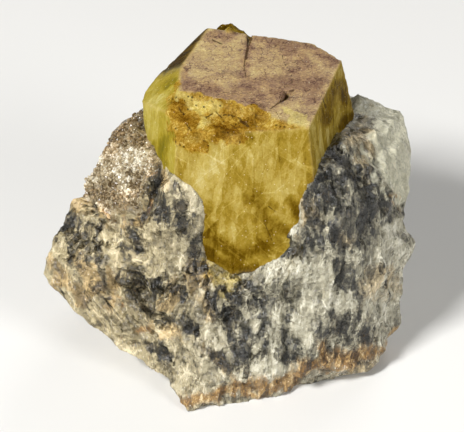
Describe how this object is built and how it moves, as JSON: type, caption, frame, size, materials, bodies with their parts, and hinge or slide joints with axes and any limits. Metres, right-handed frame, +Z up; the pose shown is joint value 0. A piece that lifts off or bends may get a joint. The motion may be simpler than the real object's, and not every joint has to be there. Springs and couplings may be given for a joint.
{
  "type": "mineral specimen",
  "caption": "Blocky rhodizite crystal with a flat top, seated in a loose broken lump of smoky quartz matrix that rests on a flat underside.",
  "frame": {"origin": "on the flat underside, below the middle of the specimen", "axes": "+X to the right across the front, +Y from the front to the back, +Z up out of the flat top"},
  "size_m": [0.043, 0.0346, 0.0345],
  "materials": {
    "rhodizite": "glossy yellow crystal, mauve-beige on its flat top, orange-brown along its broken front edge",
    "smoky_quartz": "glassy grey quartz with white veils, sugary tan mass on the left and orange-brown stains along its foot"
  },
  "bodies": {
    "root": {"rhodizite_crystal": "rhodizite", "quartz_matrix": "smoky_quartz"}
  },
  "joints": []
}
